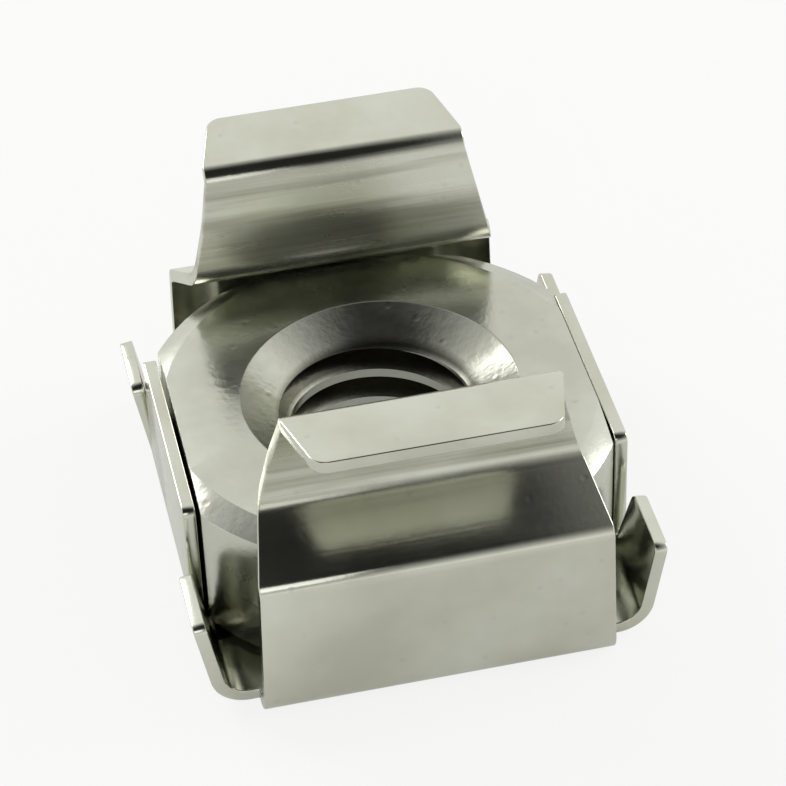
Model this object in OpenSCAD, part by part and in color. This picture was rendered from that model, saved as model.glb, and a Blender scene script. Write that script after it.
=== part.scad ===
// Cage nut for square rack holes: a square threaded nut held loosely in a
// folded spring-steel cage. The cage stands on its base plate, the threaded
// axis is Z, and the two spring lugs face front (-Y) and rear (+Y).

/* [Square nut] */
// Width of the nut across its flats
nut_w = 11; // [10:0.1:12]
// Thickness of the nut
nut_t = 4.25; // [3.6:0.05:4.6]
// Diameter that the four corners are turned down to
corner_d = 12.9; // [12.4:0.1:14]
// Width of the bevel along the top edge of each flat, seen from above
bevel_w = 0.3; // [0.15:0.05:0.5]
// Drop of that bevel
bevel_drop = 0.3; // [0.15:0.05:0.5]
// Width of the turned bevel over each corner, seen from above
corner_bevel_w = 0.65; // [0.3:0.05:1]
// Bevel round the bottom edge of the turned corners
under_bevel = 0.2; // [0.1:0.05:0.4]
// Gap between the nut's bottom edges and the bends below the side walls
bend_gap = 0.05; // [0.02:0.01:0.1]
// Diameter of the plain bore that the thread is cut in
bore_d = 5; // [4:0.1:5.4]
// Diameter of the lead-in cone on the top face
lead_in_d = 7.45; // [6.4:0.05:8]
// Diameter of the lead-in cone on the underside
lead_out_d = 6.4; // [6.1:0.1:7]
// Full angle of both lead-in cones
lead_angle = 120; // [90:5:120]

/* [Cage sheet] */
// Thickness of the spring-steel sheet
sheet = 0.35; // [0.3:0.05:0.45]
// Play between the nut and each side wall
side_play = 0.1; // [0.05:0.05:0.3]
// Play between the nut and the lug walls at each end
end_play = 0.95; // [0.7:0.05:1.2]
// Diameter of the screw hole in the base plate
base_hole_d = 7.2; // [6.4:0.1:9]

/* [Spring lugs] */
// Side of the square panel hole that the lugs spring into
panel_hole = 9.5; // [9.3:0.1:9.7]
// Width of a lug wall at the base plate
lug_w = 9.4; // [8.6:0.1:9.6]
// Width of a lug at its shoulder fold
shoulder_w = 9.2; // [8.4:0.1:9.4]
// Width of a lug at its free end
lug_tip_w = 6.2; // [5:0.1:7]
// Height of the shoulder fold above the base
shoulder_h = 4.4; // [4.3:0.05:4.8]
// Slope of the shoulder above level
shoulder_slope = 32; // [28:1:36]
// Spread of each neck beyond the panel hole
neck_spread = 0.05; // [0:0.05:0.3]
// Direction of the rise just above the neck, in degrees above level
rise_start_dir = 86; // [80:1:88]
// Direction of the rise just below the grip flap
rise_end_dir = 72; // [66:1:78]
// Inner radius of the curve between those two directions
rise_r = 2.4; // [1.5:0.1:3]
// Straight run from that curve to the grip flap
rise_end_run = 1; // [0.6:0.1:1.2]
// Height of the lugs' grip flaps above the base
flap_h = 8.8; // [8.3:0.1:9.8]
// Length of a grip flap
flap_len = 1.9; // [1.2:0.1:2.4]
// Slope of a grip flap above level
flap_slope = 4; // [0:1:8]
// Inner radius of the bend at the base plate
lug_bend_r = 0.3; // [0.2:0.05:0.45]
// Inner radius of the tight folds higher up the lug
fold_r = 0.18; // [0.12:0.02:0.25]
// Rounding of a lug's free corners
lug_corner_r = 0.35; // [0.2:0.05:0.6]

/* [Side walls and ears] */
// Length of the high middle part of a side wall
wall_len = 6.4; // [5:0.1:7]
// Distance of the side walls' top below the top of the nut
wall_drop = 0.27; // [0.1:0.01:0.8]
// Inner radius of the bend below a side wall
side_bend_r = 0.65; // [0.4:0.05:0.8]
// Length over the ears, front to rear
ear_span = 12; // [11.4:0.1:12.2]
// Height of the ears above the base
ear_h = 2.8; // [2.2:0.1:3.2]
// Lean of the ears, outward from upright
ear_lean = 10; // [4:1:14]
// Width of the notch between an ear and the middle wall, at its mouth
notch_w = 0.6; // [0.4:0.05:0.9]
// Width of the same notch at its foot
notch_foot_w = 0.2; // [0.1:0.05:0.3]
// Rounding of the free corners of walls and ears
wall_corner_r = 0.25; // [0.1:0.05:0.35]

/* [Hidden] */
$fn = 64;
eps = 0.01;
steel = [0.80, 0.80, 0.76];
nut_steel = [0.74, 0.74, 0.69];

// Half-lengths and levels that follow from the sizes above
nut_top = sheet + nut_t;
cage_y = nut_w / 2 + end_play + sheet;
wall_in_x = nut_w / 2 + side_play;
wall_top = nut_top - wall_drop;
side_line_x = wall_in_x - side_bend_r;
lug_line_y = cage_y - sheet - lug_bend_r;
neck_y = panel_hole / 2 + neck_spread;

// Depths of the lead-in cones
lead_in_depth = (lead_in_d - bore_d) / 2 / tan(lead_angle / 2);
lead_out_depth = (lead_out_d - bore_d) / 2 / tan(lead_angle / 2);

// Bevel along the nut's bottom edges, which clears the bends of the side walls
bend_in = side_bend_r - side_play;
foot_bevel_w = bend_in + bend_gap;
foot_bevel_h = side_bend_r - sqrt(side_bend_r ^ 2 - bend_in ^ 2) + bend_gap;

// Direction of the shoulder, in degrees above the outward level
shoulder_dir = 180 - shoulder_slope;

// Runs of a lug from its base bend upward. The shoulder ends at the neck,
// which passes the panel hole, and the rise ends below the grip flap.
fold_out_r = fold_r + sheet;
shoulder_turn = shoulder_dir - 90;
neck_turn = shoulder_dir - rise_start_dir;
top_turn = rise_end_dir - flap_slope;
wall_run = shoulder_h - fold_out_r * sin(shoulder_turn / 2) - lug_bend_r - sheet;
shoulder_y = cage_y - fold_out_r * (1 - cos(shoulder_turn));
shoulder_z = shoulder_h + fold_out_r * (sin(shoulder_turn) - sin(shoulder_turn / 2));
shoulder_run = (shoulder_y - neck_y) / cos(shoulder_slope) - fold_r * tan(neck_turn / 2);
neck_z = shoulder_z + (shoulder_y - neck_y) * tan(shoulder_slope);
rise_h = flap_h - sheet - neck_z - fold_r * (tan(neck_turn / 2) + tan(top_turn / 2));
rise_curve_h = rise_r * (sin(90 - rise_end_dir) - sin(90 - rise_start_dir));
rise_straight = (rise_h - rise_curve_h - rise_end_run * sin(rise_end_dir)) / sin(rise_start_dir);

// Widths of the lug, narrowing evenly from the shoulder fold to the free end
taper = (shoulder_w - lug_tip_w) / (shoulder_run + rise_h + flap_len);
neck_w = shoulder_w - taper * shoulder_run;
rise_top_w = neck_w - taper * rise_h;

// Outline with chosen roundings at its corners, given anticlockwise
function unit(v) = v / norm(v);
function half_angle(a, p, b) = acos(unit(a - p) * unit(b - p)) / 2;
function rounded_corner(a, p, b, r) = r == 0 ? [p] :
    let (reach = r / tan(half_angle(a, p, b)))
    [p + unit(a - p) * reach, p + unit(b - p) * reach];
function corner_centre(a, p, b, r) =
    p + unit(unit(a - p) + unit(b - p)) * r / sin(half_angle(a, p, b));

module rounded_outline(points, radii) {
    n = len(points);
    before = [for (i = [0:n - 1]) points[(i + n - 1) % n]];
    after = [for (i = [0:n - 1]) points[(i + 1) % n]];
    polygon([for (i = [0:n - 1]) each rounded_corner(before[i], points[i], after[i], radii[i])]);
    for (i = [0:n - 1])
        if (radii[i] > 0)
            translate(corner_centre(before[i], points[i], after[i], radii[i]))
                circle(r = radii[i]);
}

// Flat run of sheet along +Y, narrowing from w0 to w1, its far corners rounded
module flat_run(run, w0, w1, end_r = 0) {
    linear_extrude(height = sheet)
        rounded_outline(
            [[-w0 / 2, 0], [w0 / 2, 0], [w1 / 2, run], [-w1 / 2, run]],
            [0, 0, end_r, end_r]);
}

// Bend that starts along +Y and turns up
module upward_bend(turn, r, w) {
    translate([0, 0, r + sheet])
        rotate([0, 90, 0])
            rotate_extrude(angle = turn)
                translate([r, -w / 2])
                    square([sheet, w]);
}

// Bend either way: a turn below zero goes down
module bend(turn, r, w) {
    if (turn > 0)
        upward_bend(turn, r, w);
    else
        translate([0, 0, sheet])
            mirror([0, 0, 1])
                upward_bend(-turn, r, w);
}

// Places what follows a bend at that bend's far end
module after_bend(turn, r) {
    centre_z = turn > 0 ? r + sheet : -r;
    translate([0, 0, centre_z])
        rotate([turn, 0, 0])
            translate([0, 0, -centre_z])
                children();
}

// Strip of sheet folded step by step, with its children at the far end. A
// step is a flat run [length] or a bend [turn, inner radius].
module folded_strip(steps, w, i = 0) {
    if (i == len(steps))
        children();
    else if (len(steps[i]) == 1) {
        flat_run(steps[i][0], w, w);
        translate([0, steps[i][0], 0])
            folded_strip(steps, w, i + 1)
                children();
    } else {
        bend(steps[i][0], steps[i][1], w);
        after_bend(steps[i][0], steps[i][1])
            folded_strip(steps, w, i + 1)
                children();
    }
}

// Lug seen from the front: the blank's width at each height
module lug_front() {
    top_z = flap_h - fold_out_r;
    right = [[lug_w, 0], [shoulder_w, shoulder_h], [neck_w, neck_z],
             [rise_top_w, top_z], [rise_top_w, flap_h + flap_len]];
    left = [for (i = [len(right) - 1:-1:0]) [-right[i][0], right[i][1]]];
    polygon([for (p = concat(right, left)) [p[0] / 2, p[1]]]);
}

// Lug: base bend, wall, shoulder, neck, curved rise and grip flap
module lug() {
    intersection() {
        folded_strip([
            [90, lug_bend_r],
            [wall_run],
            [shoulder_turn, fold_r],
            [shoulder_run],
            [-neck_turn, fold_r],
            [rise_straight],
            [rise_end_dir - rise_start_dir, rise_r],
            [rise_end_run],
            [-top_turn, fold_r]
        ], lug_w)
            flat_run(flap_len, rise_top_w, lug_tip_w, lug_corner_r);
        translate([0, 2 * cage_y, 0])
            rotate([90, 0, 0])
                linear_extrude(height = 4 * cage_y)
                    lug_front();
    }
}

// Side: one bend along the whole length, the upright middle wall and two ears
module side() {
    ear_turn = 90 - ear_lean;
    bend_out_r = side_bend_r + sheet;
    ear_foot_z = bend_out_r * (1 - cos(ear_turn));
    ear_run = (ear_h - ear_foot_z) / cos(ear_lean);
    wall_run_up = wall_top - bend_out_r;
    ear_in = wall_len / 2;
    ear_out = ear_span / 2;
    bend(ear_turn, side_bend_r, ear_span);
    after_bend(ear_turn, side_bend_r) {
        bend(ear_lean, side_bend_r, wall_len);
        after_bend(ear_lean, side_bend_r)
            flat_run(wall_run_up, wall_len, wall_len, wall_corner_r);
        for (m = [0, 1])
            mirror([m, 0, 0])
                linear_extrude(height = sheet)
                    rounded_outline(
                        [[ear_in + notch_foot_w, 0], [ear_out, 0],
                         [ear_out, ear_run], [ear_in + notch_w, ear_run]],
                        [0, 0, wall_corner_r, wall_corner_r]);
    }
}

// Base plate with the screw hole
module base_plate() {
    linear_extrude(height = sheet)
        difference() {
            union() {
                square([2 * side_line_x, ear_span], center = true);
                square([lug_w, 2 * lug_line_y], center = true);
            }
            circle(d = base_hole_d);
        }
}

module spring_cage() {
    color(steel) {
        base_plate();
        for (m = [0, 1])
            mirror([0, m, 0])
                translate([0, lug_line_y, 0])
                    lug();
        for (m = [0, 1])
            mirror([m, 0, 0])
                translate([side_line_x, 0, 0])
                    rotate([0, 0, -90])
                        side();
    }
}

// Wedge that bevels an edge along the right-hand flat of the nut
module edge_bevel(w, drop) {
    translate([nut_w / 2, -nut_w, -drop])
        rotate([0, -atan2(w, drop), 0])
            cube([nut_w, 2 * nut_w, nut_w]);
}

// Blank turned to the corner diameter, bevelled over and under the corners
module turned_blank() {
    r = corner_d / 2;
    rotate_extrude()
        polygon([
            [0, sheet], [r - under_bevel, sheet], [r, sheet + under_bevel],
            [r, nut_top - bevel_drop], [r - corner_bevel_w, nut_top], [0, nut_top]]);
}

module square_nut() {
    color(nut_steel)
        difference() {
            intersection() {
                turned_blank();
                translate([-nut_w / 2, -nut_w / 2, 0])
                    cube([nut_w, nut_w, 2 * nut_top]);
            }
            for (q = [0:3])
                rotate([0, 0, 90 * q]) {
                    translate([0, 0, nut_top])
                        edge_bevel(bevel_w, bevel_drop);
                    translate([0, 0, sheet])
                        mirror([0, 0, 1])
                            edge_bevel(foot_bevel_w, foot_bevel_h);
                }
            cylinder(h = 3 * nut_top, d = bore_d, center = true);
            translate([0, 0, nut_top - lead_in_depth])
                cylinder(h = lead_in_depth + eps, d1 = bore_d, d2 = lead_in_d + 2 * eps);
            translate([0, 0, sheet - eps])
                cylinder(h = lead_out_depth + eps, d1 = lead_out_d + 2 * eps, d2 = bore_d);
        }
}

spring_cage();
square_nut();
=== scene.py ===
from math import cos, radians, sin, tan

import bmesh
import bpy
from mathutils import Matrix, Vector


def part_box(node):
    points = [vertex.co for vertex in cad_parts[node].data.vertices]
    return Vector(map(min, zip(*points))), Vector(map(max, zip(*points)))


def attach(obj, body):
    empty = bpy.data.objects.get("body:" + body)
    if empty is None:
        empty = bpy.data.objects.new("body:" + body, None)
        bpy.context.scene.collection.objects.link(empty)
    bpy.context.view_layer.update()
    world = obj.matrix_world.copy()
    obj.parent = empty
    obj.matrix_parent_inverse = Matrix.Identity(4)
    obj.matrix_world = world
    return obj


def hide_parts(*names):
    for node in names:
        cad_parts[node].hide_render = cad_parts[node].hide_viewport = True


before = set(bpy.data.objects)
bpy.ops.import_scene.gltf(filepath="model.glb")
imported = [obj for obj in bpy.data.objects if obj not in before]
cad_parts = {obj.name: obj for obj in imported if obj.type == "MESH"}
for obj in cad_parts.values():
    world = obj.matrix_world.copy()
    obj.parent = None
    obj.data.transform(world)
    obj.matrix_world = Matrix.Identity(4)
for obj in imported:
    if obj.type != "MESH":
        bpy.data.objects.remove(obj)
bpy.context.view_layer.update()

mm = 0.001
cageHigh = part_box("spring_cage")[1]
nutLow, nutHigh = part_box("square_nut")
sheet = nutLow.z  # the nut lies on the base plate


# One output of a shader node. Arithmetic on it adds Math nodes to its tree.
class Wire:
    def __init__(self, tree, socket):
        self.tree = tree
        self.socket = socket

    def math(self, operation, other=None, swap=False, clamp=False):
        ins = [self] if other is None else [self, other]
        if swap:
            ins.reverse()
        settings = {"operation": operation, "use_clamp": clamp}
        return self.tree.add("ShaderNodeMath", settings, dict(enumerate(ins)))

    def __add__(self, other):
        return self.math("ADD", other)

    def __sub__(self, other):
        return self.math("SUBTRACT", other)

    def __mul__(self, other):
        return self.math("MULTIPLY", other)

    def __rsub__(self, other):
        return self.math("SUBTRACT", other, swap=True)

    __radd__ = __add__
    __rmul__ = __mul__

    def clamped(self):
        return self.math("ADD", 0.0, clamp=True)


class Nodes:
    def __init__(self, owner):
        owner.use_nodes = True
        self.tree = owner.node_tree
        self.tree.nodes.clear()

    # Adds a node: its settings first, then its sockets' values or links. Returns one output.
    def add(self, kind, settings=None, sockets=None, out=0):
        node = self.tree.nodes.new(kind)
        for name, value in (settings or {}).items():
            setattr(node, name, value)
        for name, value in (sockets or {}).items():
            if isinstance(value, Wire):
                self.tree.links.new(value.socket, node.inputs[name])
            else:
                node.inputs[name].default_value = value
        return Wire(self, node.outputs[out]) if len(node.outputs) else None

    def noise(self, scale, detail=3.0, roughness=0.5, where=None, stretch=None):
        where = where or self.add("ShaderNodeTexCoord", out="Object")
        if stretch:
            where = self.add("ShaderNodeMapping", {}, {"Vector": where, "Scale": stretch})
        return self.add("ShaderNodeTexNoise", {}, {
            "Vector": where, "Scale": scale, "Detail": detail, "Roughness": roughness})

    def ramp(self, value, low, high):
        return self.add("ShaderNodeMapRange", {"clamp": True}, {
            "Value": value, "From Min": low, "From Max": high, "To Min": 0.0, "To Max": 1.0})

    def blend(self, factor, first, second):
        ends = [(*end, 1) if isinstance(end, tuple) else end for end in (first, second)]
        return self.add("ShaderNodeMix", {"data_type": "RGBA"}, {0: factor, 6: ends[0], 7: ends[1]}, out=2)


# Nickel plate over steel. The plate is brighter on the sheet and duller on the nut.
def nickelPlate(name, look):
    material = bpy.data.materials.new(name)
    nodes = Nodes(material)
    place = nodes.add("ShaderNodeTexCoord", out="Object")
    cloudy = nodes.noise(look["cloudScale"], 4.0, 0.55, place)
    grain = nodes.noise(look["grainScale"], 2.0, 0.6, place)
    drawn = nodes.noise(look["drawnScale"], 3.0, 0.6, place, look["drawnStretch"])
    pits = nodes.add("ShaderNodeTexVoronoi", {"feature": "F1"}, {"Vector": place, "Scale": look["pitScale"]})
    pitted = 1 - nodes.ramp(pits, 0.05, 0.16)
    patchy = nodes.ramp(cloudy, 0.35, 0.68)
    colour = nodes.blend(patchy, look["deep"], look["pale"])
    colour = nodes.blend(pitted * look["pitDark"], colour, look["pitColour"])
    if "tapped" in look:  # painted shade down the bore, together with oil on the cut thread: darker than the plate round it
        across = nodes.add("ShaderNodeVectorMath", {"operation": "MULTIPLY"}, {0: place, 1: (1, 1, 0)})
        radius = nodes.add("ShaderNodeVectorMath", {"operation": "LENGTH"}, {0: across}, out="Value")
        groove = nodes.ramp(radius, 2.5 * mm, 2.62 * mm) * (1 - nodes.ramp(radius, 3.04 * mm, 3.08 * mm))
        height = nodes.add("ShaderNodeSeparateXYZ", {}, {"Vector": place}, out="Z")
        groove = groove * (1 - nodes.ramp(height, nutHigh.z - 0.62 * mm, nutHigh.z - 0.5 * mm))
        colour = nodes.blend(groove * look["tappedDark"], colour, look["tapped"])
    if "reflectionBandColour" in look:  # streaks along the curved rise of each lug, raised as a bump; in the colour they are painted reflection, dark brown bands where the bent sheet would mirror the nut
        level = nodes.add("ShaderNodeSeparateXYZ", {}, {"Vector": place}, out="Z")
        curved = nodes.ramp(level, 5.2 * mm, 5.8 * mm) * (1 - nodes.ramp(level, 8.45 * mm, 8.6 * mm))
        streaks = nodes.noise(look["markScale"], 4.0, 0.65, place, look["markStretch"])
        reflectionBands = nodes.ramp(streaks, 0.45, 0.6) * curved
        colour = nodes.blend(reflectionBands * look["reflectionBandStrength"], colour, look["reflectionBandColour"])
        drawn = drawn + streaks * curved * look["markHeight"]
    rough = look["rough"] + (patchy - 0.5) * look["roughSpread"] + (drawn - 0.5) * look["drawnRough"]
    height = grain * look["grainDepth"] + drawn * look["drawnDepth"] - pitted * look["pitDepth"]
    bump = nodes.add("ShaderNodeBump", {}, {
        "Strength": look["bump"], "Distance": 0.02 * mm, "Height": height})
    shader = nodes.add("ShaderNodeBsdfPrincipled", {}, {
        "Base Color": colour, "Roughness": rough.clamped(), "Metallic": 1.0, "Normal": bump})
    nodes.add("ShaderNodeOutputMaterial", {}, {"Surface": shader})
    return material


sheetLook = {
    "pale": (0.655, 0.67, 0.585), "deep": (0.54, 0.545, 0.455),
    # painted reflection: the dark brown bands across each lug's curved rise, and how strongly they are
    # painted
    "reflectionBandColour": (0.2, 0.19, 0.13), "reflectionBandStrength": 0.6, "markHeight": 2.2,
    "markScale": 1000, "markStretch": (0.035, 0.6, 1.0),
    "cloudScale": 260, "grainScale": 5200, "drawnScale": 1500, "drawnStretch": (0.05, 1.0, 1.0),
    "pitScale": 1500, "pitColour": (0.45, 0.44, 0.40), "pitDark": 0.25,
    "rough": 0.17, "roughSpread": 0.06, "drawnRough": 0.12,
    "grainDepth": 0.25, "drawnDepth": 0.9, "pitDepth": 0.3, "bump": 0.3,
}
nutLook = {
    "pale": (0.62, 0.635, 0.56), "deep": (0.5, 0.505, 0.43),
    # the tapped colour is painted shade down the bore, together with oil on the cut thread
    "tapped": (0.10, 0.095, 0.07), "tappedDark": 0.85,
    "cloudScale": 320, "grainScale": 3600, "drawnScale": 700, "drawnStretch": (1.0, 1.0, 0.3),
    "pitScale": 1300, "pitColour": (0.40, 0.39, 0.35), "pitDark": 0.35,
    "rough": 0.24, "roughSpread": 0.1, "drawnRough": 0.06,
    "grainDepth": 0.8, "drawnDepth": 0.3, "pitDepth": 0.6, "bump": 0.4,
}


# ---- small modelling helpers

def newPiece(name, mesh, material, body="root"):
    mesh.name = name
    mesh.materials.clear()
    mesh.materials.append(material)
    piece = bpy.data.objects.new(name, mesh)
    bpy.context.scene.collection.objects.link(piece)
    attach(piece, body)
    return piece


def newVertsOf(result):
    return [g for g in result["geom"] if isinstance(g, bmesh.types.BMVert)]


def newEdgesOf(result):
    return [g for g in result["geom"] if isinstance(g, bmesh.types.BMEdge)]


# ---- the folded cage: one surface through the middle of the sheet, given its thickness at the end

cage = {
    "halfLength": 6.8 * mm, "wallInside": 5.6 * mm,
    "lugWidth": 9.4 * mm, "shoulderWidth": 9.2 * mm, "tipWidth": 6.2 * mm,
    "baseHole": 3.6 * mm,
    "lugBend": 0.3 * mm, "fold": 0.18 * mm, "neckFold": 0.6 * mm, "riseCurve": 2.4 * mm,
    "sideBend": 0.65 * mm,
    "shoulderHeight": 4.4 * mm, "flapHeight": 8.8 * mm, "flapLength": 1.9 * mm, "riseEnd": 1.0 * mm,
    "shoulderSlope": 32, "riseStart": 86, "riseStop": 72, "flapSlope": 4,
    "neckHalf": 4.8 * mm, "tipRounding": 0.35 * mm,
    "wallLength": 6.4 * mm, "wallTop": 4.33 * mm, "earSpan": 12.0 * mm, "earHeight": 2.8 * mm, "earLean": 10,
    "notchMouth": 0.6 * mm, "notchFoot": 0.2 * mm, "wallRounding": 0.25 * mm,
    "cutEdge": 0.045 * mm, "bendSteps": 8,
}


# Extrudes a row of edges along a direction.
def run(bm, edges, step):
    out = bmesh.ops.extrude_edge_only(bm, edges=edges)
    bmesh.ops.translate(bm, verts=newVertsOf(out), vec=step)
    return newEdgesOf(out)


# Spins a row of edges round a bend's axis.
def turn(bm, edges, centre, axis, degrees, steps):
    out = bmesh.ops.spin(bm, geom=edges + list({v for e in edges for v in e.verts}), cent=centre, axis=axis,
                         dvec=(0, 0, 0), angle=radians(degrees), steps=steps, use_duplicate=False)
    return [g for g in out["geom_last"] if isinstance(g, bmesh.types.BMEdge)]


# Folds one lug from its edge of the base plate, and narrows it as it rises.
def foldLug(bm, edges, size, outward):
    half = sheet / 2
    heading = 0  # direction of the strip: 0 outward, 90 up, 180 inward
    place = Vector((0, edges[0].verts[0].co.y, half))
    before = set(bm.verts)

    def along(angle):
        return Vector((0, outward * cos(radians(angle)), sin(radians(angle))))

    def fold(edges, degrees, inner):
        nonlocal heading, place
        side = 1 if degrees > 0 else -1
        centre = place + along(heading + 90 * side) * (inner + half)
        edges = turn(bm, edges, centre, (outward, 0, 0), degrees, size["bendSteps"])
        place = centre + along(heading + degrees - 90 * side) * (inner + half)
        heading += degrees
        return edges

    def straight(edges, length):
        nonlocal place
        place = place + along(heading) * length
        return run(bm, edges, along(heading) * length)

    slope, crease = radians(size["shoulderSlope"]), size["fold"]
    shoulderTurn = 90 - size["shoulderSlope"]
    neckTurn = 180 - size["shoulderSlope"] - size["riseStart"]
    topTurn = size["riseStop"] - size["flapSlope"]
    toShoulder = size["shoulderHeight"] - (crease + sheet) * sin(radians(shoulderTurn / 2))
    edges = fold(edges, 90, size["lugBend"])
    edges = straight(edges, toShoulder - size["lugBend"] - sheet)
    edges = fold(edges, shoulderTurn, crease)
    faceY = abs(place.y) + half * cos(radians(shoulderTurn))
    faceZ = place.z + half * sin(radians(shoulderTurn))
    neckZ = faceZ + (faceY - size["neckHalf"]) * tan(slope)
    shoulderRun = (faceY - size["neckHalf"]) / cos(slope) - size["neckFold"] * tan(radians(neckTurn / 2))
    edges = straight(edges, shoulderRun)
    edges = fold(edges, -neckTurn, size["neckFold"])
    rise = size["flapHeight"] - sheet - neckZ
    rise -= size["neckFold"] * tan(radians(neckTurn / 2)) + crease * tan(radians(topTurn / 2))
    curved = size["riseCurve"] * (cos(radians(size["riseStop"])) - cos(radians(size["riseStart"])))
    upright = rise - curved - size["riseEnd"] * sin(radians(size["riseStop"]))
    edges = straight(edges, upright / sin(radians(size["riseStart"])))
    edges = fold(edges, size["riseStop"] - size["riseStart"], size["riseCurve"])
    edges = straight(edges, size["riseEnd"])
    edges = fold(edges, -topTurn, crease)
    taper = (size["shoulderWidth"] - size["tipWidth"]) / (shoulderRun + rise + size["flapLength"])
    neckWidth = size["shoulderWidth"] - taper * shoulderRun
    topWidth = neckWidth - taper * rise
    levels = [(half, size["lugWidth"]), (size["shoulderHeight"], size["shoulderWidth"]),
              (neckZ, neckWidth), (size["flapHeight"] - crease - sheet, topWidth), (cageHigh.z, topWidth)]
    for v in set(bm.verts) - before:
        for (z0, w0), (z1, w1) in zip(levels, levels[1:]):
            if z0 <= v.co.z <= z1:
                width = w0 + (w1 - w0) * (v.co.z - z0) / (z1 - z0)
                v.co.x = width / 2 if v.co.x > 0 else -width / 2
    edges = straight(edges, size["flapLength"])
    tips = [v for e in edges for v in e.verts]
    for v in tips:
        v.co.x = size["tipWidth"] / 2 if v.co.x > 0 else -size["tipWidth"] / 2
    return tips


# Folds up one side: a bend along the whole length, then the middle wall and an ear at each end.
def foldSide(bm, edges, size, outward):
    half = sheet / 2
    radius = size["sideBend"] + half
    centre = Vector((edges[0].verts[0].co.x, 0, half + radius))
    axis = (0, -outward, 0)
    lean = radians(size["earLean"])
    rows = turn(bm, edges, centre, axis, 90 - size["earLean"], size["bendSteps"] + 4)
    middle = [e for e in rows if abs(e.verts[0].co.y + e.verts[1].co.y) < mm]
    ears = [e for e in rows if abs(e.verts[0].co.y + e.verts[1].co.y) > size["wallLength"] + mm]
    foot = (radius + half) * (1 - cos(radians(90) - lean))
    length = (size["earHeight"] - foot) / cos(lean)
    ends = run(bm, ears, Vector((outward * sin(lean), 0, cos(lean))) * length)
    corners = [v for e in ends for v in e.verts]
    mouth = size["wallLength"] / 2 + size["notchMouth"]
    for v in corners:
        if abs(v.co.y) < mouth:
            v.co.y = mouth if v.co.y > 0 else -mouth
    top = turn(bm, middle, centre, axis, size["earLean"], 3)
    top = run(bm, top, (0, 0, size["wallTop"] - radius - half))
    return corners + [v for e in top for v in e.verts]


# The flat base plate, outlined where the lugs and sides turn up, round its screw hole.
def basePlate(bm, size):
    lugLine = size["halfLength"] - sheet - size["lugBend"]
    sideLine = size["wallInside"] - size["sideBend"]
    lugX, endY, wallY = size["lugWidth"] / 2, size["earSpan"] / 2, size["wallLength"] / 2
    quarter = [(lugX, lugLine), (lugX, endY), (sideLine, endY),
               (sideLine, wallY + size["notchFoot"]), (sideLine, wallY)]
    right = quarter + [(x, -y) for x, y in reversed(quarter)]
    outline = right + [(-x, y) for x, y in reversed(right)]
    rim = [bm.verts.new((x, y, sheet / 2)) for x, y in outline]
    edges = [bm.edges.new((a, b)) for a, b in zip(rim, rim[1:] + rim[:1])]
    hole = bmesh.ops.create_circle(bm, segments=64, radius=size["baseHole"], cap_ends=False,
                                   matrix=Matrix.Translation((0, 0, sheet / 2)))
    edges += list({e for v in hole["verts"] for e in v.link_edges})
    bmesh.ops.triangle_fill(bm, edges=edges, use_beauty=True, use_dissolve=False, normal=(0, 0, 1))


def bakeModifiers(bm, name, modifiers):
    mesh = bpy.data.meshes.new(name)
    bm.to_mesh(mesh)
    bm.free()
    draft = bpy.data.objects.new(name + "Draft", mesh)
    bpy.context.scene.collection.objects.link(draft)
    for kind, settings in modifiers:
        modifier = draft.modifiers.new(kind.title(), kind)
        for key, value in settings.items():
            setattr(modifier, key, value)
    done = bpy.data.meshes.new_from_object(draft.evaluated_get(bpy.context.evaluated_depsgraph_get()))
    bpy.data.objects.remove(draft)
    return done


def smoothUpTo(mesh, angle):
    for face in mesh.polygons:
        face.use_smooth = True
    mesh.set_sharp_from_angle(angle=radians(angle))
    return mesh


def foldedCage(size, material):
    bm = bmesh.new()
    basePlate(bm, size)
    lugLine = size["halfLength"] - sheet - size["lugBend"]
    sideLine = size["wallInside"] - size["sideBend"]
    corners = []
    for outward in (1, -1):
        lugEdge = [e for e in bm.edges if all(abs(v.co.y - outward * lugLine) < 0.01 * mm for v in e.verts)]
        corners += [(v, size["tipRounding"]) for v in foldLug(bm, lugEdge, size, outward)]
        sideEdges = [e for e in bm.edges if all(
            abs(v.co.x - outward * sideLine) < 0.01 * mm and v.co.z < sheet for v in e.verts)]
        corners += [(v, size["wallRounding"]) for v in foldSide(bm, sideEdges, size, outward)]
    for rounding in {r for v, r in corners}:
        bmesh.ops.bevel(bm, geom=[v for v, r in corners if r == rounding and v.is_valid], offset=rounding,
                        offset_type="OFFSET", affect="VERTICES", segments=6, profile=0.5, material=-1)
    bmesh.ops.recalc_face_normals(bm, faces=bm.faces)
    mesh = bakeModifiers(bm, "foldedCage", [
        ("SOLIDIFY", {"thickness": sheet, "offset": 0, "use_even_offset": True, "use_quality_normals": True}),
        ("BEVEL", {"width": size["cutEdge"], "segments": 3, "limit_method": "ANGLE",
                   "angle_limit": radians(40)}),
    ])
    piece = newPiece("foldedCage", smoothUpTo(mesh, 35), material)
    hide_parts("spring_cage")
    return piece


# ---- the square nut, tapped with its thread

nut = {
    "flats": 11.0 * mm, "cornerRadius": 6.45 * mm, "topBevel": 0.3 * mm, "topDrop": 0.3 * mm,
    "cornerBevel": 0.65 * mm, "underBevel": 0.2 * mm, "footBevel": 0.6 * mm, "footDrop": 0.354 * mm,
    "bore": 2.5 * mm, "leadIn": 3.725 * mm, "leadOut": 3.2 * mm, "leadSlope": 30,
    "pitch": 1.0 * mm, "threadRadius": 3.02 * mm, "rimRounding": 0.12 * mm, "edgeRounding": 0.06 * mm,
    "turnSteps": 96,
}


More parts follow.
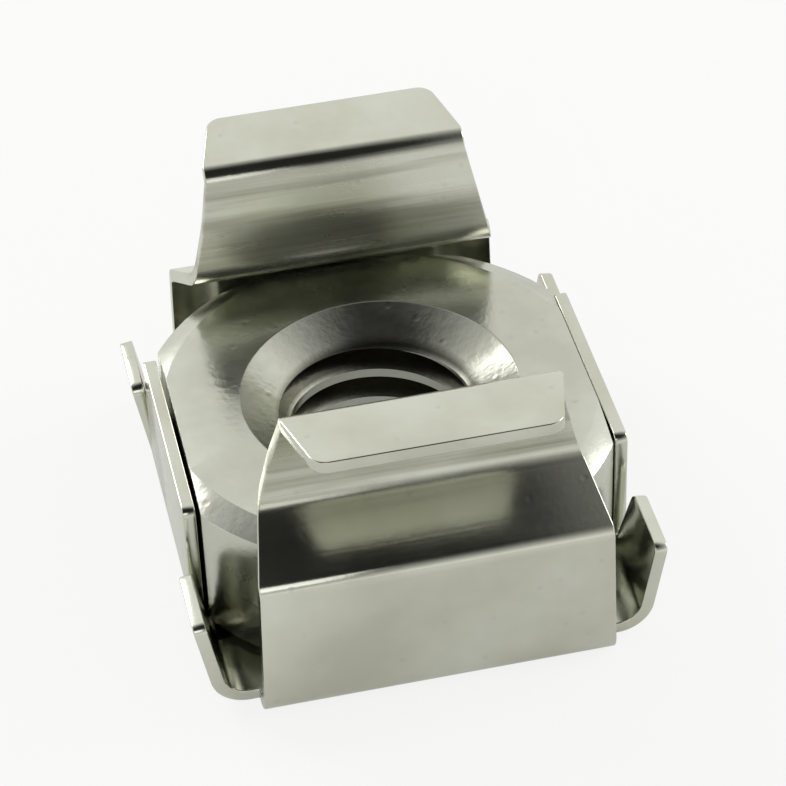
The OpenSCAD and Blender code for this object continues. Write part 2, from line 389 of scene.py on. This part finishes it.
# Spins a profile of (radius, height) points into a closed round solid.
def turned(bm, profile, steps):
    row = [bm.verts.new((r, 0, z)) for r, z in profile]
    edges = [bm.edges.new(pair) for pair in zip(row, row[1:])]
    bmesh.ops.spin(bm, geom=row + edges, cent=(0, 0, 0), axis=(0, 0, 1), dvec=(0, 0, 0), angle=radians(360),
                   steps=steps, use_merge=True, use_duplicate=False)
    bmesh.ops.remove_doubles(bm, verts=bm.verts, dist=0.0001 * mm)
    bmesh.ops.recalc_face_normals(bm, faces=bm.faces)


# Slices off what lies beyond a plane and closes the cut.
def sliceOff(bm, point, outward):
    cut = bmesh.ops.bisect_plane(bm, geom=bm.verts[:] + bm.edges[:] + bm.faces[:], dist=0.0001 * mm,
                                 plane_co=point, plane_no=outward, clear_outer=True)
    rim = [g for g in cut["geom_cut"] if isinstance(g, bmesh.types.BMEdge)]
    bmesh.ops.contextual_create(bm, geom=rim)


def nutBlank(size):
    bm = bmesh.new()
    low, high, r = nutLow.z, nutHigh.z, size["cornerRadius"]
    turned(bm, [(0, low), (r - size["underBevel"], low), (r, low + size["underBevel"]),
                (r, high - size["topDrop"]), (r - size["cornerBevel"], high), (0, high)], size["turnSteps"])
    half = size["flats"] / 2
    for quarter in range(4):
        spun = Matrix.Rotation(radians(90 * quarter), 3, "Z")
        sliceOff(bm, spun @ Vector((half, 0, 0)), spun @ Vector((1, 0, 0)))
        sliceOff(bm, spun @ Vector((half - size["topBevel"], 0, high)),
                 spun @ Vector((size["topDrop"], 0, size["topBevel"])))
        sliceOff(bm, spun @ Vector((half - size["footBevel"], 0, low)),
                 spun @ Vector((size["footDrop"], 0, -size["footBevel"])))
    return bm


# The round tool that drills the bore and turns both lead-in cones, with their rims eased.
def boreTool(size):
    bm = bmesh.new()
    low, high, bore = nutLow.z, nutHigh.z, size["bore"]
    slope = radians(size["leadSlope"])

    def rim(radius, level, way):
        ease = size["rimRounding"]
        points = []
        for i in range(5):
            angle = slope * (1 - i / 4)
            points.append((radius + ease * (sin(slope) - sin(angle)) , level - way * ease * (1 - cos(angle))))
        return points

    top = rim(size["leadIn"], high, 1)
    under = rim(size["leadOut"], low, -1)
    topFoot = high - (size["leadIn"] - bore) * tan(slope)
    underFoot = low + (size["leadOut"] - bore) * tan(slope)
    profile = [(0, low - mm), (under[-1][0], low - mm), *reversed(under), (bore, underFoot), (bore, topFoot),
               *top, (top[-1][0], high + mm), (0, high + mm)]
    turned(bm, profile, size["turnSteps"])
    return bm


# The coil that cuts the thread's groove: a trapezium swept up a helix.
def threadTool(size):
    bm = bmesh.new()
    pitch, outer, inner = size["pitch"], size["threadRadius"], size["bore"] - 0.15 * mm
    crest = pitch / 16
    root = crest + (outer - inner) * tan(radians(30))
    start = nutLow.z - pitch
    corners = [(inner, -root), (outer, -crest), (outer, crest), (inner, root)]
    section = [bm.verts.new((r, 0, start + z)) for r, z in corners]
    face = bm.faces.new(section)
    turns = (nutHigh.z - nutLow.z) / pitch + 2
    stepsPerTurn = 72
    steps = round(turns * stepsPerTurn)
    bmesh.ops.spin(bm, geom=[face], cent=(0, 0, 0), axis=(0, 0, 1), dvec=(0, 0, pitch / stepsPerTurn),
                   angle=radians(360 * steps / stepsPerTurn), steps=steps, use_duplicate=False)
    bmesh.ops.recalc_face_normals(bm, faces=bm.faces)
    return bm


def toolObject(bm, name):
    mesh = bpy.data.meshes.new(name)
    bm.to_mesh(mesh)
    bm.free()
    tool = bpy.data.objects.new(name, mesh)
    bpy.context.scene.collection.objects.link(tool)
    return tool


def tappedNut(size, material):
    drill = toolObject(boreTool(size), "drill")
    tap = toolObject(threadTool(size), "tap")
    mesh = bakeModifiers(nutBlank(size), "squareNut", [
        ("BEVEL", {"width": size["edgeRounding"], "segments": 3, "limit_method": "ANGLE",
                   "angle_limit": radians(24)}),
        ("BOOLEAN", {"operation": "DIFFERENCE", "object": drill, "solver": "EXACT"}),
        ("BOOLEAN", {"operation": "DIFFERENCE", "object": tap, "solver": "EXACT"}),
    ])
    for tool in (drill, tap):
        bpy.data.objects.remove(tool)
    piece = newPiece("squareNut", smoothUpTo(mesh, 28), material)
    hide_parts("square_nut")
    return piece


# ---- floor, lamps and camera

studio = {
    "floorSize": 0.6, "floorColour": (0.8, 0.8, 0.79), "floorGlow": 0.82, "floorMirrorGlow": 0.3,
    "roomColour": (0.62, 0.62, 0.6), "darkDirection": (-0.12, -0.42, 0.9), "darkColour": (0.02, 0.02, 0.02),
    "paleColour": (1.0, 1.0, 0.98),
    "lamps": [
        ("backLeft", (-0.16, 0.22, 0.16), (0.16, 0.12), 0.35),
        ("right", (0.26, 0.02, 0.14), (0.12, 0.12), 0.22),
        ("frontLow", (-0.1, -0.3, 0.2), (0.2, 0.14), 0.12),
    ],
}

view = {
    "azimuth": 11.26, "elevation": 40.5, "roll": 2.23, "distance": 88.57 * mm, "lens": 146.8,
    "aim": (0.75 * mm, 2.09 * mm, 2.57 * mm),
}


def whiteFloor(size):
    bm = bmesh.new()
    bmesh.ops.create_grid(bm, x_segments=2, y_segments=2, size=size["floorSize"] / 2)
    material = bpy.data.materials.new("paperFloor")
    nodes = Nodes(material)
    paper = nodes.add("ShaderNodeBsdfDiffuse", {}, {"Color": (*size["floorColour"], 1)})
    glow = nodes.add("ShaderNodeEmission", {}, {"Color": (1, 1, 1, 1), "Strength": 1.0})
    seen = nodes.add("ShaderNodeLightPath", out="Is Camera Ray")
    mirrored = nodes.add("ShaderNodeLightPath", out="Is Glossy Ray")
    factor = seen * size["floorGlow"] + mirrored * size["floorMirrorGlow"]
    mixed = nodes.add("ShaderNodeMixShader", {}, {0: factor, 1: paper, 2: glow})
    nodes.add("ShaderNodeOutputMaterial", {}, {"Surface": mixed})
    mesh = bpy.data.meshes.new("floor")
    bm.to_mesh(mesh)
    bm.free()
    mesh.materials.append(material)
    floor = bpy.data.objects.new("floor", mesh)
    bpy.context.scene.collection.objects.link(floor)


# The room: white where the camera looks; in the metal a pale room with a dim patch over the front.
def room(size):
    world = bpy.data.worlds.new("room")
    bpy.context.scene.world = world
    nodes = Nodes(world)
    heading = nodes.add("ShaderNodeTexCoord", out="Generated")
    dim = Vector(size["darkDirection"]).normalized()
    toward = nodes.add("ShaderNodeVectorMath", {"operation": "DOT_PRODUCT"}, {0: heading, 1: dim},
                       out="Value")
    colour = nodes.blend(nodes.ramp(toward, 0.45, 0.9), size["paleColour"], size["darkColour"])
    diffuse = nodes.add("ShaderNodeLightPath", out="Is Diffuse Ray")
    colour = nodes.blend(diffuse, colour, size["roomColour"])
    seen = nodes.add("ShaderNodeLightPath", out="Is Camera Ray")
    colour = nodes.blend(seen, colour, (1.0, 1.0, 1.0))
    sky = nodes.add("ShaderNodeBackground", {}, {"Color": colour, "Strength": 1.0})
    nodes.add("ShaderNodeOutputWorld", {}, {"Surface": sky})


def lamps(size):
    target = Vector((0, 0, 4 * mm))
    for name, place, (wide, high), watts in size["lamps"]:
        data = bpy.data.lights.new(name, "AREA")
        data.shape = "RECTANGLE"
        data.size, data.size_y, data.energy = wide, high, watts
        lamp = bpy.data.objects.new(name, data)
        lamp.location = place
        lamp.rotation_euler = (target - lamp.location).to_track_quat("-Z", "Y").to_euler()
        bpy.context.scene.collection.objects.link(lamp)


def setCamera(size):
    data = bpy.data.cameras.new("camera")
    camera = bpy.data.objects.new("camera", data)
    data.sensor_width = 36
    data.lens = size["lens"]
    data.clip_start = mm
    azimuth, elevation = radians(size["azimuth"]), radians(size["elevation"])
    away = Vector((-sin(azimuth) * cos(elevation), -cos(azimuth) * cos(elevation), sin(elevation)))
    aim = Vector(size["aim"])
    turnTo = (-away).to_track_quat("-Z", "Y").to_matrix()
    rolled = turnTo @ Matrix.Rotation(radians(-size["roll"]), 3, "Z")
    camera.matrix_world = Matrix.Translation(aim + away * size["distance"]) @ rolled.to_4x4()
    bpy.context.scene.collection.objects.link(camera)
    bpy.context.scene.camera = camera


bpy.context.scene.view_settings.view_transform = "Standard"
foldedCage(cage, nickelPlate("sheetNickel", sheetLook))
print("cage folded")
tappedNut(nut, nickelPlate("nutNickel", nutLook))
print("nut tapped")
whiteFloor(studio)
room(studio)
lamps(studio)
setCamera(view)
print("studio set")
